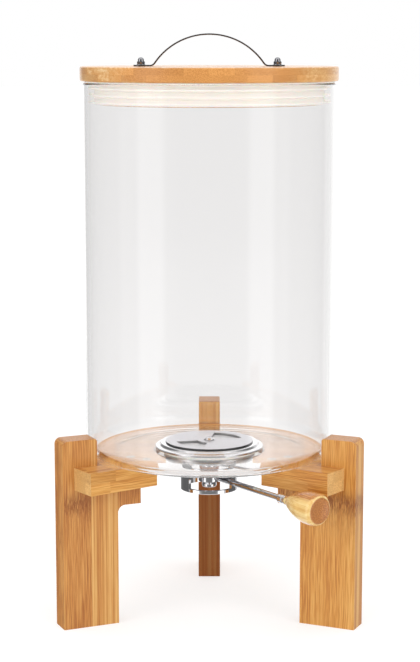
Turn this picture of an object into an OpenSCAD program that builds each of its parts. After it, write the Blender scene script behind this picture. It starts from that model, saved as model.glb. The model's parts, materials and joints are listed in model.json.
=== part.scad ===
// Glass dry-food dispenser with a bamboo lid, a rotary outlet valve and a three-legged bamboo stand.
// Millimetres, +Z up. The origin is the middle of the overall footprint, on the surface it stands on.
// The jar's axis is parallel to Z and stands axis_y from the origin. -Y is the front.

/* [Jar] */
// Outside radius of the glass jar
jar_r = 101.5; // [99:0.5:102]
// Thickness of the glass wall
jar_wall = 4; // [3:0.25:5]
// Height of the jar from its foot ring to its rim
jar_h = 303; // [240:1:360]
// Thickness of the glass floor above the foot ring
jar_floor = 4; // [3.5:0.1:5]
// Outside radius of the rounded heel
heel_r = 12; // [8:0.5:14]

/* [Lid] */
// Radius of the bamboo lid disc
lid_r = 103.5; // [103:0.5:106]
// Thickness of the bamboo lid disc
lid_t = 11.5; // [9:0.5:15]
// Radius of the plug under the lid
plug_r = 89.5; // [84:0.5:90.5]
// Depth of the plug under the lid disc
plug_h = 18.5; // [14:0.5:24]
// Rise of the handle bow above the lid
handle_rise = 26; // [20:0.5:32]
// Distance from the lid's middle to each handle nut
handle_reach = 54.6; // [50:0.2:60]
// Width of the handle strip
handle_w = 12; // [9:0.5:16]

/* [Stand] */
// Thickness of a leg board
leg_t = 19; // [16:0.5:20]
// Distance from the jar's axis to a leg's outer edge
leg_out = 131.6; // [126:0.2:136]
// Distance from the jar's axis to a leg's inner edge
leg_in = 84.7; // [80:0.1:90]
// Angle of each front leg, forward of the side direction
leg_az = 24; // [22:1:26]
// Height of the shelf that carries the jar
shelf_z = 133; // [130:0.5:140]
// Height of a leg's top above the floor
horn_top = 155; // [150:0.5:162]
// Height of the underside of a leg's bracket
bracket_z = 98.4; // [90:0.2:104]
// Angle of each front rail, forward of the side direction
rail_az = 36; // [34:1:37]
// Width of a front rail
rail_w = 25; // [20:0.5:26]
// Height of the rails
rail_h = 18.2; // [16:0.1:20]

/* [Outlet valve] */
// Radius of the chrome flange inside the jar
flange_r = 44.5; // [42:0.5:48]
// Radius of the fixed plate with the two ports
plate_r = 36; // [34:0.1:36.4]
// Outside radius of the outlet collar
collar_r = 24; // [23:0.1:24]
// Height of the collar's lower rim above the floor
collar_z = 102.4; // [98:0.2:103]
// Angle that each port spans
port_span = 66; // [50:1:70]
// Turn of the lever from shut to open
lever_turn = 76; // [72:1:77]
// Direction of the shut lever, in degrees round from +X (270 is the front)
lever_az = 311; // [309:1:312]
// Distance from the jar's axis to the end of the knob
lever_reach = 131; // [125:0.5:136]
// Largest radius of the knob
knob_r = 13; // [10:0.25:13]

/* [Hidden] */
$fn = 96;
eps = 0.01;          // overshoot of a cutting solid past an open face
fit = 0.05;          // radial clearance of a close fit
slip = 0.4;          // radial clearance of a loose fit

// jar
rim_z = shelf_z + jar_h;
floor_z = shelf_z + jar_floor;
bore_r = jar_r - jar_wall;
inner_heel_r = 9;
glass_hole_r = 32;
recess_r = 75;       // shallow recess in the underside, so the jar rests on its outer ring
recess_h = 0.5;

// lid
seal_t = 1;          // thickness of the seal's flange between rim and lid
lid_z = rim_z + seal_t;
lid_top = lid_z + lid_t;
plug_z = lid_z - plug_h;
edge_r = 1.6;        // rounding of the lid's edges
seal_body_r = 91.9;
seal_fin_r = bore_r - 0.3;
seal_fin_root = 1.8;
seal_fin_tip = 1;
seal_fin_step = 5.4;
strip_t = 1.2;
bow_span = 46;       // half of the bow's width where it meets the lid
bow_r = (bow_span * bow_span + handle_rise * handle_rise) / (2 * handle_rise);
bow_z = lid_top + handle_rise - bow_r;
bolt_r = 1.5;
bolt_head_r = 3;
bolt_head_h = 2.4;
bolt_seat_r = 4.5;
bolt_seat_h = 4;
washer_t = 0.5;
washer_r = 3.5;
nut_flats = 5.5;
nut_h = 2.4;
nut_dome_r = 2.5;
nut_dome_z = 3.1;    // height of the dome's centre above the nut's face
bolt_top = 3.8;      // how far a bolt reaches into its nut

// stand
bracket_in = 65;     // distance from the jar's axis to a bracket's inner end
horn_gap = 0.8;      // clearance between the jar's wall and a leg's horn
horn_round = 5;
horn_round_in = 2;
bracket_fillet = 6;
rail_z = shelf_z - rail_h;
rail_in = 58.4;      // distance from the jar's axis to the rails' inner ends
rail_out = 121.1;
rail_front = 8.9;    // a front rail's front face, forward of the line through the jar's axis
cleat_w = 16;        // width of the two short rails on the back leg
cleat_out = 82;
tie_in = 46;
tie_out = 98;
tie_t = 8;
tie_open = 40;       // angle at which the tie plate's ends stop, forward of the side direction
tie_z = shelf_z - tie_t;
screw_r = 1.75;
screw_head_r = 3.6;
screw_head_h = 2.2;
screw_tip_h = 4;
rail_screw_l = 30;
cleat_screw_l = 24;
tie_screw_l = 15;
rail_screws_at = [91, 108];
cleat_screw_at = 76;
rail_screw_z = rail_z + (rail_h - tie_t) / 2;
tie_screw_at = 69.5;
tie_screw_rail_at = 62;

// valve
gasket_t = 1;
flange_z = floor_z + gasket_t;
flange_top = flange_z + 4.3;
plate_t = 1.4;
plate_rise = 1.2;    // how far the port plate stands above the flange
plate_z = flange_top + plate_rise - plate_t;
tube_r = 31.5;
tube_bore_r = 29;
tube_z = 124;
tube_lip_h = 2;
lower_gasket_t = 1.5;
lower_gasket_z = shelf_z + recess_h - lower_gasket_t;
lock_nut_r = 38;
lock_nut_z = 125;
lock_nut_slots = 6;
disc_t = 1.4;
disc_gap = 0.3;      // gap between the gate disc and the plate above it
disc_z = plate_z - disc_gap - disc_t;
disc_r = tube_bore_r - slip;
port_in = 10;
port_out = 27.8;
port_start = 15;     // direction of the first port's near edge
collar_bore_r = 21.5;
collar_top = 139;
collar_band = 3;     // height of the solid band under the collar's window
window_from = 226;
window_to = 320;
window_top = 118;
bridge_z = 119;
bridge_top = 124;
bridge_w = 5;
boss_r = 8.6;
bush_r = 6.4;
bush_flange_r = 8;
bush_z = 117.8;

// gate
spindle_r = 4;
spindle_flats = 6.4;
shoulder_r = 7;
shoulder_h = 1.6;
hub_r = 9;
hub_z = 108.9;
hub_top = 117.2;
hub_washer_t = 0.5;
hub_washer_r = 7.5;
stub_r = 3;
cap_r = 6;
cap_z = 103.7;
cap_skin = 1.2;      // solid metal under the spindle's end in the cap nut
top_screw_r = 1.55;
top_screw_l = 10;
dome_r = 4.5;
dome_h = 2.2;
spindle_top = plate_z + plate_t + 0.2;
rod_r = 2.5;
rod_z = 113.2;       // height at which the rod's line meets the jar's axis
rod_tilt = 2;        // the rod falls outwards by this angle
rod_start = 4.6;
ferrule_r = 3.7;
ferrule_l = 8;
knob_l = 38;
knob_nose = 2;       // the rounded nose starts this far before the knob's visible end
knob_swell = 32;     // distance from the nose to the knob's widest point
knob_edge_r = 4;
knob_bore_l = 15;
knob_start = lever_reach - knob_l;

// the jar's axis sits behind the footprint's middle, because the back leg reaches further than the knob
knob_lead = sqrt(1 - pow(sin(lever_az) * cos(rod_tilt), 2));
knob_front = (lever_reach - knob_edge_r) * -sin(lever_az) * cos(rod_tilt)
           + (knob_r - knob_edge_r) * knob_lead + knob_edge_r;
axis_y = (knob_front - leg_out) / 2;

bamboo = "burlywood";
steel = "silver";

// ---- shared shapes ----

// places its children on the jar's axis
module at_axis() {
    translate([0, axis_y, 0]) children();
}

// makes its children once on each side of the middle plane
module both_sides() {
    children();
    mirror([1, 0, 0]) children();
}

module disc(r, z0, z1) {
    translate([0, 0, z0]) cylinder(r = r, h = z1 - z0);
}

module ring(r_in, r_out, z0, z1) {
    difference() {
        disc(r_out, z0, z1);
        disc(r_in, z0 - 1, z1 + 1);
    }
}

// a slice of a ring between two directions
module ring_slice(from, to, r_in, r_out, z0, z1) {
    rotate([0, 0, from]) rotate_extrude(angle = to - from)
        translate([r_in, z0]) square([r_out - r_in, z1 - z0]);
}

// a rectangle in the lathe plane, with its two outer corners rounded
module eased_rect(w, h, e) {
    square([w - e, h]);
    translate([0, e]) square([w, h - 2 * e]);
    translate([w - e, e]) circle(e);
    translate([w - e, h - e]) circle(e);
}

// the waste outside a round corner at [x, y]; sx and sy point to the corner
module corner_waste(x, y, r, sx, sy) {
    translate([x, y]) scale([sx, sy]) difference() {
        translate([-r, -r]) square(r + 1);
        translate([-r, -r]) circle(r);
    }
}

// ---- stand ----

module leg_outline() {
    difference() {
        union() {
            translate([leg_in, 0]) square([leg_out - leg_in, horn_top]);
            translate([bracket_in, bracket_z]) square([leg_out - bracket_in, shelf_z - bracket_z]);
            translate([leg_in - bracket_fillet, bracket_z - bracket_fillet])
                square([bracket_fillet + 1, bracket_fillet + 1]);
        }
        translate([0, shelf_z]) square([jar_r + horn_gap, horn_top]);
        translate([leg_in - bracket_fillet, bracket_z - bracket_fillet]) circle(bracket_fillet);
        corner_waste(leg_out, horn_top, horn_round, 1, 1);
        corner_waste(jar_r + horn_gap, horn_top, horn_round_in, -1, 1);
    }
}

// one leg along +X, with the lap for the tie plate and its screw's hole
module leg() {
    difference() {
        rotate([90, 0, 0]) linear_extrude(leg_t, center = true) leg_outline();
        disc(tie_out + fit, tie_z, shelf_z + 1);
        translate([tie_screw_at, 0, shelf_z]) screw_hole(tie_screw_l);
    }
}

// the block of wood that a leg fills beside a rail
module leg_core() {
    translate([bracket_in, -leg_t / 2, bracket_z])
        cube([leg_out - bracket_in, leg_t, horn_top - bracket_z]);
}

// countersunk wood screw, head upwards, with its head's face at z = 0
module screw(l) {
    difference() {
        union() {
            translate([0, 0, -screw_head_h]) cylinder(r1 = screw_r, r2 = screw_head_r, h = screw_head_h);
            translate([0, 0, screw_tip_h - l]) cylinder(r = screw_r, h = l - screw_tip_h);
            translate([0, 0, -l]) cylinder(r1 = 0.4, r2 = screw_r, h = screw_tip_h);
        }
        for (turn = [0, 90]) rotate([0, 0, turn]) translate([-2, -0.4, -1]) cube([4, 0.8, 2]);
    }
}

module screw_hole(l) {
    translate([0, 0, -screw_head_h])
        cylinder(r1 = screw_r + fit, r2 = screw_head_r + fit, h = screw_head_h);
    translate([0, 0, -l - fit]) cylinder(r = screw_r + fit, h = l + fit);
    translate([0, 0, -eps]) cylinder(r = screw_head_r + fit, h = 1);
}

// the rail screws of the right front leg, driven from its back face
module at_right_rail_screws() {
    for (r = rail_screws_at) rotate([0, 0, -leg_az]) translate([r, leg_t / 2, rail_screw_z])
        rotate([-90, 0, 0]) children();
}

// the screw of the right-hand rail on the back leg
module at_back_rail_screw() {
    translate([leg_t / 2 + cleat_w, cleat_screw_at, rail_screw_z])
        rotate([0, 90, 0]) children();
}

module at_right_tie_screw() {
    rotate([0, 0, -rail_az]) translate([tie_screw_rail_at, 0, shelf_z]) children();
}

module right_leg_solid() {
    difference() {
        rotate([0, 0, -leg_az]) leg();
        at_right_rail_screws() screw_hole(rail_screw_l);
    }
}

module right_rail_solid() {
    difference() {
        rotate([0, 0, -rail_az]) translate([rail_in, -rail_front, rail_z])
            cube([rail_out - rail_in, rail_w, rail_h]);
        rotate([0, 0, -leg_az]) leg_core();
        tie_space();
        at_right_rail_screws() screw_hole(rail_screw_l);
        at_right_tie_screw() screw_hole(tie_screw_l);
    }
}

module back_right_rail_solid() {
    difference() {
        translate([leg_t / 2, rail_in, rail_z]) cube([cleat_w, cleat_out - rail_in, rail_h]);
        tie_space();
        at_back_rail_screw() screw_hole(cleat_screw_l);
    }
}

// the lap that the tie plate fills in the legs and rails
module tie_space() {
    ring_slice(-tie_open, 180 + tie_open, tie_in - 1, tie_out + fit, tie_z, shelf_z + 1);
}

module right_leg() {
    color(bamboo) at_axis() right_leg_solid();
}

module left_leg() {
    color(bamboo) at_axis() mirror([1, 0, 0]) right_leg_solid();
}

module back_leg() {
    color(bamboo) at_axis() difference() {
        rotate([0, 0, 90]) leg();
        both_sides() at_back_rail_screw() screw_hole(cleat_screw_l);
    }
}

module right_rail() {
    color(bamboo) at_axis() right_rail_solid();
}

module left_rail() {
    color(bamboo) at_axis() mirror([1, 0, 0]) right_rail_solid();
}

module back_right_rail() {
    color(bamboo) at_axis() back_right_rail_solid();
}

module back_left_rail() {
    color(bamboo) at_axis() mirror([1, 0, 0]) back_right_rail_solid();
}

module tie_plate() {
    color(bamboo) at_axis() difference() {
        ring_slice(-tie_open, 180 + tie_open, tie_in, tie_out, tie_z, shelf_z);
        for (turn = [-leg_az, 90, 180 + leg_az])
            rotate([0, 0, turn]) translate([tie_screw_at, 0, shelf_z]) screw_hole(tie_screw_l);
        both_sides() at_right_tie_screw() screw_hole(tie_screw_l);
    }
}

module rail_screws() {
    color(steel) at_axis() both_sides() {
        at_right_rail_screws() screw(rail_screw_l);
        at_back_rail_screw() screw(cleat_screw_l);
    }
}

module tie_screws() {
    color(steel) at_axis() {
        for (turn = [-leg_az, 90, 180 + leg_az])
            rotate([0, 0, turn]) translate([tie_screw_at, 0, shelf_z]) screw(tie_screw_l);
        both_sides() at_right_tie_screw() screw(tie_screw_l);
    }
}

// ---- jar ----

module jar_outside() {
    translate([0, shelf_z]) square([jar_r - heel_r, heel_r + 1]);
    translate([jar_r - heel_r, shelf_z + heel_r]) circle(heel_r);
    translate([0, shelf_z + heel_r]) square([jar_r, jar_h - heel_r - jar_wall / 2]);
    translate([jar_r - jar_wall / 2, rim_z - jar_wall / 2]) circle(jar_wall / 2);
}

module jar_inside() {
    translate([0, floor_z]) square([bore_r - inner_heel_r, jar_h]);
    translate([bore_r - inner_heel_r, floor_z + inner_heel_r]) circle(inner_heel_r);
    translate([0, floor_z + inner_heel_r]) square([bore_r, jar_h]);
}

module jar() {
    color("lightcyan", 0.35) at_axis() rotate_extrude() difference() {
        intersection() {
            jar_outside();
            square([2 * jar_r, 2 * rim_z]);
        }
        jar_inside();
        translate([0, rim_z - jar_wall / 2]) square([bore_r + jar_wall / 2, jar_wall]);
        translate([0, 0]) square([glass_hole_r, 2 * rim_z]);
        translate([0, 0]) square([recess_r, shelf_z + recess_h]);
    }
    color("lightcyan", 0.35) at_axis() rotate_extrude() intersection() {
        translate([bore_r + jar_wall / 2, rim_z - jar_wall / 2]) circle(jar_wall / 2);
        translate([0, rim_z - jar_wall / 2 - eps]) square([jar_r, jar_wall]);
    }
}

module flange_gasket() {
    color("ivory") at_axis() ring(glass_hole_r + slip, flange_r - 2, floor_z, flange_z);
}

module lower_gasket() {
    color("ivory") at_axis()
        ring(glass_hole_r + slip, lock_nut_r + 0.5, lower_gasket_z, lower_gasket_z + lower_gasket_t);
}

module flange_outline() {
    seat_r = plate_r + fit;
    polygon([
        [tube_bore_r, tube_z + tube_lip_h], [collar_r + fit, tube_z + tube_lip_h],
        [collar_r + fit, tube_z], [tube_r, tube_z], [tube_r, flange_z],
        [flange_r, flange_z], [flange_r, flange_z + 1.4], [flange_r - 0.6, flange_z + 1.9],
        [flange_r - 3.2, flange_z + 2.3], [flange_r - 3.8, flange_z + 3.6],
        [flange_r - 4.6, flange_top], [seat_r, flange_top],
        [seat_r, plate_z], [tube_bore_r, plate_z]
    ]);
}

module outlet_flange() {
    color(steel) at_axis() rotate_extrude() flange_outline();
}

module ports(first, z0, z1) {
    for (start = [first, first + 180])
        ring_slice(start, start + port_span, port_in, port_out, z0, z1);
}

module port_plate() {
    color(steel) at_axis() difference() {
        disc(plate_r, plate_z, plate_z + plate_t);
        disc(spindle_r + fit, plate_z - 1, plate_z + plate_t + 1);
        ports(port_start, plate_z - 1, plate_z + plate_t + 1);
    }
}

module lock_nut() {
    slot_w = 6;
    slot_d = 2.5;
    color(steel) at_axis() difference() {
        ring(tube_r + fit, lock_nut_r, lock_nut_z, lower_gasket_z);
        for (i = [0 : lock_nut_slots - 1]) rotate([0, 0, i * 360 / lock_nut_slots])
            translate([lock_nut_r - slot_d, -slot_w / 2, lock_nut_z - 1]) cube([slot_d + 1, slot_w, 5]);
    }
}

module collar_outline() {
    polygon([
        [collar_bore_r, collar_z], [collar_r - 0.4, collar_z], [collar_r, collar_z + 0.4],
        [collar_r, tube_z + tube_lip_h], [tube_bore_r - fit, tube_z + tube_lip_h],
        [tube_bore_r - fit, collar_top], [tube_bore_r - 1, collar_top],
        [collar_bore_r, tube_z + tube_lip_h]
    ]);
}

module outlet_collar() {
    color(steel) at_axis() difference() {
        union() {
            rotate_extrude() collar_outline();
            disc(boss_r, bridge_z, bridge_top);
            translate([-collar_bore_r - 1, -bridge_w / 2, bridge_z])
                cube([2 * collar_bore_r + 2, bridge_w, bridge_top - bridge_z]);
        }
        disc(bush_r + fit, bridge_z - 1, bridge_top + 1);
        ring_slice(window_from, window_to, collar_bore_r - 1.5, collar_r + 1, collar_z + collar_band,
                   window_top);
    }
}

module spindle_bush() {
    color("white") at_axis() difference() {
        union() {
            disc(bush_flange_r, bush_z, bridge_z);
            disc(bush_r, bush_z, bridge_top + 0.4);
        }
        disc(spindle_r + fit, bush_z - 1, bridge_top + 1.4);
    }
}

// ---- gate and lever ----

// a round shaft's section with two flats
module drive_section(grow) {
    intersection() {
        circle(spindle_r + grow);
        square([spindle_flats + 2 * grow, 4 * spindle_r], center = true);
    }
}

module spindle() {
    color(steel) at_axis() difference() {
        union() {
            disc(stub_r, cap_z + cap_skin + 0.2, hub_z);
            disc(spindle_r, hub_z, disc_z);
            disc(shoulder_r, disc_z - shoulder_h, disc_z);
            translate([0, 0, disc_z]) linear_extrude(spindle_top - disc_z) drive_section(0);
        }
        disc(top_screw_r + fit, spindle_top - top_screw_l - 0.5, spindle_top + 1);
    }
}

module gate_disc() {
    color(steel) at_axis() difference() {
        disc(disc_r, disc_z, disc_z + disc_t);
        translate([0, 0, disc_z - 1]) linear_extrude(disc_t + 2) drive_section(fit);
        ports(port_start + lever_turn, disc_z - 1, disc_z + disc_t + 1);
    }
}

module spindle_screw() {
    ball_r = (dome_r * dome_r + dome_h * dome_h) / (2 * dome_h);
    head_z = spindle_top + 0.1;
    slot_w = 1;
    color(steel) at_axis() difference() {
        union() {
            disc(top_screw_r, spindle_top - top_screw_l, head_z + 1);
            rotate_extrude() intersection() {
                translate([0, head_z + dome_h - ball_r]) circle(ball_r);
                translate([0, head_z]) square([dome_r, dome_h + 1]);
            }
        }
        translate([-dome_r, -slot_w / 2, head_z + dome_h - 0.9]) cube([2 * dome_r, slot_w, 2]);
    }
}

module hub_washer() {
    color(steel) at_axis() ring(spindle_r + fit, hub_washer_r, hub_top, hub_top + hub_washer_t);
}

// places its children along the lever: +X points outwards along the rod
module along_lever() {
    rotate([0, 0, lever_az]) translate([0, 0, rod_z]) rotate([0, rod_tilt, 0]) children();
}

module rod_cylinder(r, from, to) {
    translate([from, 0, 0]) rotate([0, 90, 0]) cylinder(r = r, h = to - from);
}

module lever_hub() {
    color(steel) at_axis() difference() {
        disc(hub_r, hub_z, hub_top);
        disc(spindle_r + fit, hub_z - 1, hub_top + 1);
        along_lever() rod_cylinder(rod_r + fit, rod_start - 1, hub_r + 2);
    }
}

module cap_nut() {
    chamfer = 0.8;
    color(steel) at_axis() difference() {
        union() {
            translate([0, 0, cap_z]) cylinder(r1 = cap_r - chamfer, r2 = cap_r, h = chamfer);
            disc(cap_r, cap_z + chamfer, hub_z);
        }
        disc(stub_r + fit, cap_z + cap_skin, hub_z + 1);
    }
}

module lever_rod() {
    color(steel) at_axis() along_lever() rod_cylinder(rod_r, rod_start, knob_start + knob_bore_l - 1);
}

module knob_ferrule() {
    edge = 0.5;
    color(steel) at_axis() along_lever() translate([knob_start - ferrule_l, 0, 0]) rotate([0, 90, 0])
        rotate_extrude() polygon([
            [rod_r + fit, 0], [ferrule_r - edge, 0], [ferrule_r, edge],
            [ferrule_r, ferrule_l], [rod_r + fit, ferrule_l]
        ]);
}

// radius of the knob at a distance s from the start of its rounded nose
function knob_radius(s) = knob_r * pow(sin(90 * s / knob_swell), 0.8);

module knob_outline() {
    steps = 14;
    nose_step = (knob_swell - knob_nose - 1) / steps;
    butt = knob_l;
    polygon(concat(
        [[0, 0], [ferrule_r - 0.4, 0]],
        [for (i = [1 : steps]) [knob_radius(knob_nose + 1 + i * nose_step), i * nose_step + 1]],
        [for (a = [0 : 15 : 90]) [knob_r - knob_edge_r + knob_edge_r * cos(a),
                                  butt - knob_edge_r + knob_edge_r * sin(a)]],
        [[0, butt]]
    ));
}

module lever_knob() {
    color("khaki") at_axis() along_lever() difference() {
        translate([knob_start, 0, 0]) rotate([0, 90, 0]) rotate_extrude() knob_outline();
        rod_cylinder(rod_r + fit, knob_start - 1, knob_start + knob_bore_l);
    }
}

// ---- lid ----

module handle_bores(r, z0, z1) {
    for (side = [-1, 1]) translate([side * handle_reach, 0, 0]) disc(r, z0, z1);
}

module lid_disc() {
    color(bamboo) at_axis() difference() {
        translate([0, 0, lid_z]) rotate_extrude() eased_rect(lid_r, lid_t, edge_r);
        handle_bores(bolt_r + fit, lid_z - 1, lid_top + 1);
    }
}

module lid_plug() {
    color(bamboo) at_axis() difference() {
        disc(plug_r, plug_z, lid_z);
        handle_bores(bolt_r + fit, plug_z - 1, lid_z + 1);
        handle_bores(bolt_seat_r, plug_z - 1, plug_z + bolt_seat_h);
    }
}

module seal_fin(z) {
    polygon([
        [seal_body_r - 1, z - seal_fin_root / 2], [seal_fin_r, z + 1 - seal_fin_tip / 2],
        [seal_fin_r, z + 1 + seal_fin_tip / 2], [seal_body_r - 1, z + seal_fin_root / 2]
    ]);
}

module lid_seal() {
    seal_z = plug_z + 0.5;
    color("ivory") at_axis() rotate_extrude() {
        translate([plug_r + fit, seal_z]) square([seal_body_r - plug_r - fit, lid_z - seal_z]);
        translate([plug_r + fit, rim_z]) square([jar_r - 1.4 - plug_r - fit, seal_t]);
        for (i = [0 : 2]) seal_fin(seal_z + seal_fin_root / 2 + i * seal_fin_step);
    }
}

// the handle strip seen from above, with round ends
module handle_plan() {
    square([2 * handle_reach, handle_w], center = true);
    for (side = [-1, 1]) translate([side * handle_reach, 0]) circle(handle_w / 2);
}

module lid_handle() {
    tab_in = bow_span - 2.2;
    tab_l = handle_reach + handle_w / 2 - tab_in;
    color(steel) at_axis() difference() {
        intersection() {
            union() {
                translate([0, 0, bow_z]) rotate([90, 0, 0])
                    ring(bow_r - strip_t, bow_r, -handle_w / 2, handle_w / 2);
                both_sides() translate([tab_in, -handle_w / 2, lid_top])
                    cube([tab_l, handle_w, strip_t]);
            }
            translate([0, 0, lid_top]) linear_extrude(handle_rise + 1) handle_plan();
        }
        handle_bores(bolt_r + fit, lid_top - 1, lid_top + strip_t + 1);
    }
}

module handle_washers() {
    z = lid_top + strip_t;
    color(steel) at_axis() difference() {
        handle_bores(washer_r, z, z + washer_t);
        handle_bores(bolt_r + fit, z - 1, z + washer_t + 1);
    }
}

module handle_nuts() {
    z = lid_top + strip_t + washer_t;
    color(steel) at_axis() for (side = [-1, 1]) translate([side * handle_reach, 0, z]) difference() {
        union() {
            cylinder(r = nut_flats / 2 / cos(30), h = nut_h, $fn = 6);
            cylinder(r = nut_dome_r, h = nut_dome_z);
            translate([0, 0, nut_dome_z]) sphere(nut_dome_r);
        }
        translate([0, 0, -1]) cylinder(r = bolt_r + fit, h = bolt_top + 1.3);
    }
}

module handle_bolts() {
    head_z = plug_z + bolt_seat_h - bolt_head_h;
    recess_r = 1.2;
    color(steel) at_axis() difference() {
        union() {
            handle_bores(bolt_r, head_z + 1, lid_top + strip_t + washer_t + bolt_top);
            handle_bores(bolt_head_r, head_z, head_z + bolt_head_h);
        }
        handle_bores(recess_r, head_z - 1, head_z + 1.4);
    }
}

left_leg();
right_leg();
back_leg();
left_rail();
right_rail();
back_left_rail();
back_right_rail();
tie_plate();
rail_screws();
tie_screws();
jar();
flange_gasket();
outlet_flange();
port_plate();
lower_gasket();
lock_nut();
outlet_collar();
spindle_bush();
spindle();
gate_disc();
spindle_screw();
hub_washer();
lever_hub();
cap_nut();
lever_rod();
knob_ferrule();
lever_knob();
lid_disc();
lid_plug();
lid_seal();
lid_handle();
handle_washers();
handle_nuts();
handle_bolts();
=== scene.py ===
import json
import math

import bmesh
import bpy
from mathutils import Matrix, Vector

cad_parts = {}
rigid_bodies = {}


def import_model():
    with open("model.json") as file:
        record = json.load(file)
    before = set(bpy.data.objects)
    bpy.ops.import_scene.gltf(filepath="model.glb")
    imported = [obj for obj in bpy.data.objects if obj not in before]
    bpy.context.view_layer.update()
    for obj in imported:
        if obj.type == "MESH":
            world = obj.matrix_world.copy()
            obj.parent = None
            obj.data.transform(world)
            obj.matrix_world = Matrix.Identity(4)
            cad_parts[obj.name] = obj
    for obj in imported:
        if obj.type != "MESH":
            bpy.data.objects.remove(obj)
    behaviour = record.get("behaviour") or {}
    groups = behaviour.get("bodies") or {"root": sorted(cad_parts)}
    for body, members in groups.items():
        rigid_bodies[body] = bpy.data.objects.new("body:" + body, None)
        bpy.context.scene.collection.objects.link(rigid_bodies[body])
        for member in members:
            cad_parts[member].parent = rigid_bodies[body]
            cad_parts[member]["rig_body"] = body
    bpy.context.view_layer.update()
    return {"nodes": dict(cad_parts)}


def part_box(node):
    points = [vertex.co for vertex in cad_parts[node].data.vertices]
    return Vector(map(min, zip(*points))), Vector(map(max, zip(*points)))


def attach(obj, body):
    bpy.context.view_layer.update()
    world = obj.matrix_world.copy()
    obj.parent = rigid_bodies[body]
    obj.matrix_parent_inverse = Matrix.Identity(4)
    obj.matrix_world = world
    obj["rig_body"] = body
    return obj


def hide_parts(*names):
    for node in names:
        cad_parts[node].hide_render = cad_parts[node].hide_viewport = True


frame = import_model()
nodes = frame["nodes"]

MM = 0.001
SEGMENTS = 192

jar_lo, jar_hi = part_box("jar")
AXIS = Vector(((jar_lo.x + jar_hi.x) / 2, (jar_lo.y + jar_hi.y) / 2, 0))


# ---------------------------------------------------------------- node graphs

class Graph:
    """A node tree built by short calls: a new material's, or the world's."""

    def __init__(self, owner):
        self.owner = owner if isinstance(owner, bpy.types.World) else bpy.data.materials.new(owner)
        self.owner.use_nodes = True
        self.tree = self.owner.node_tree
        self.tree.nodes.clear()

    def node(self, kind, inputs=None, **settings):
        made = self.tree.nodes.new("ShaderNode" + kind)
        for key, value in settings.items():
            setattr(made, key, value)
        for key, value in (inputs or {}).items():
            self.feed(made.inputs[key], value)
        return made

    def feed(self, socket, value):
        if isinstance(value, bpy.types.NodeSocket):
            self.tree.links.new(value, socket)
        else:
            socket.default_value = value

    def math(self, operation, a, b=0.0, c=0.0, clamp=False):
        made = self.node("Math", operation=operation, use_clamp=clamp)
        for socket, value in zip(made.inputs, (a, b, c)):
            self.feed(socket, value)
        return made.outputs[0]

    def mix(self, factor, a, b, blend="MIX"):
        made = self.node("Mix", data_type="RGBA", blend_type=blend)
        self.feed(made.inputs["Factor"], factor)
        self.feed(made.inputs[6], a)
        self.feed(made.inputs[7], b)
        return made.outputs[2]

    def ramp(self, factor, stops):
        made = self.node("ValToRGB", {"Fac": factor})
        elements = made.color_ramp.elements
        while len(elements) < len(stops):
            elements.new(1.0)
        for element, (place, colour) in zip(elements, stops):
            element.position = place
            element.color = colour
        return made.outputs["Color"]

    def smooth(self, value, low, high, out_low=0.0, out_high=1.0):
        made = self.node("MapRange", interpolation_type="SMOOTHSTEP")
        for socket, number in zip(made.inputs, (value, low, high, out_low, out_high)):
            self.feed(socket, number)
        return made.outputs[0]

    def noise(self, vector, scale, detail, rough=0.5):
        made = self.node("TexNoise", {"Vector": vector, "Scale": scale, "Detail": detail,
                                      "Roughness": rough})
        return made.outputs[0]

    def stretched(self, vector, scale):
        made = self.node("VectorMath", {0: vector, 1: scale}, operation="MULTIPLY")
        return made.outputs[0]

    def split(self, vector):
        return self.node("SeparateXYZ", {0: vector}).outputs

    def join(self, x, y, z):
        return self.node("CombineXYZ", {0: x, 1: y, 2: z}).outputs[0]

    def bump(self, height, strength, distance):
        made = self.node("Bump", {"Height": height, "Strength": strength, "Distance": distance})
        return made.outputs[0]

    def finish(self, shader, output="OutputMaterial"):
        self.node(output, {"Surface": shader})
        return self.owner

    def principled(self, **inputs):
        named = {}
        for key, value in inputs.items():
            named[key.replace("_", " ").title().replace("Ior", "IOR")] = value
        return self.node("BsdfPrincipled", named).outputs[0]


def rgb(red, green, blue):
    """A linear colour from the 0-255 values that a screen shows."""
    def linear(value):
        value /= 255
        return value / 12.92 if value <= 0.04045 else ((value + 0.055) / 1.055) ** 2.4
    return (linear(red), linear(green), linear(blue), 1.0)


# ---------------------------------------------------------------- materials

# dark, middle and light tone of the wood's two faces, and of its end grain
FLAT_TONES = (rgb(158, 90, 36), rgb(198, 132, 64), rgb(222, 164, 92))
EDGE_TONES = (rgb(178, 110, 48), rgb(214, 154, 82), rgb(240, 198, 126))
GOLD_TONES = (rgb(182, 112, 46), rgb(216, 154, 76), rgb(234, 182, 106))
END_TONES = (rgb(150, 92, 44), rgb(206, 146, 84))
NODE_BROWN = rgb(132, 70, 28)
# cells per metre of the wood's noises: twice across the grain, then along it
STRIPES, DASHES, CLOUDS = (330, 330, 1.6), (1350, 1350, 30), (55, 55, 7)
WOBBLES, TUFTS, SPECKS = (70, 70, 25), (1150, 1150, 210), (1500, 1500, 30)
# places of the dark, middle and light tone on the scale of a wood's colour
TONE_STOPS = (0.05, 0.5, 0.95)
# what the deepest strips leave of their colour
DEEP = (0.72, 0.66, 0.60, 1.0)


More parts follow.
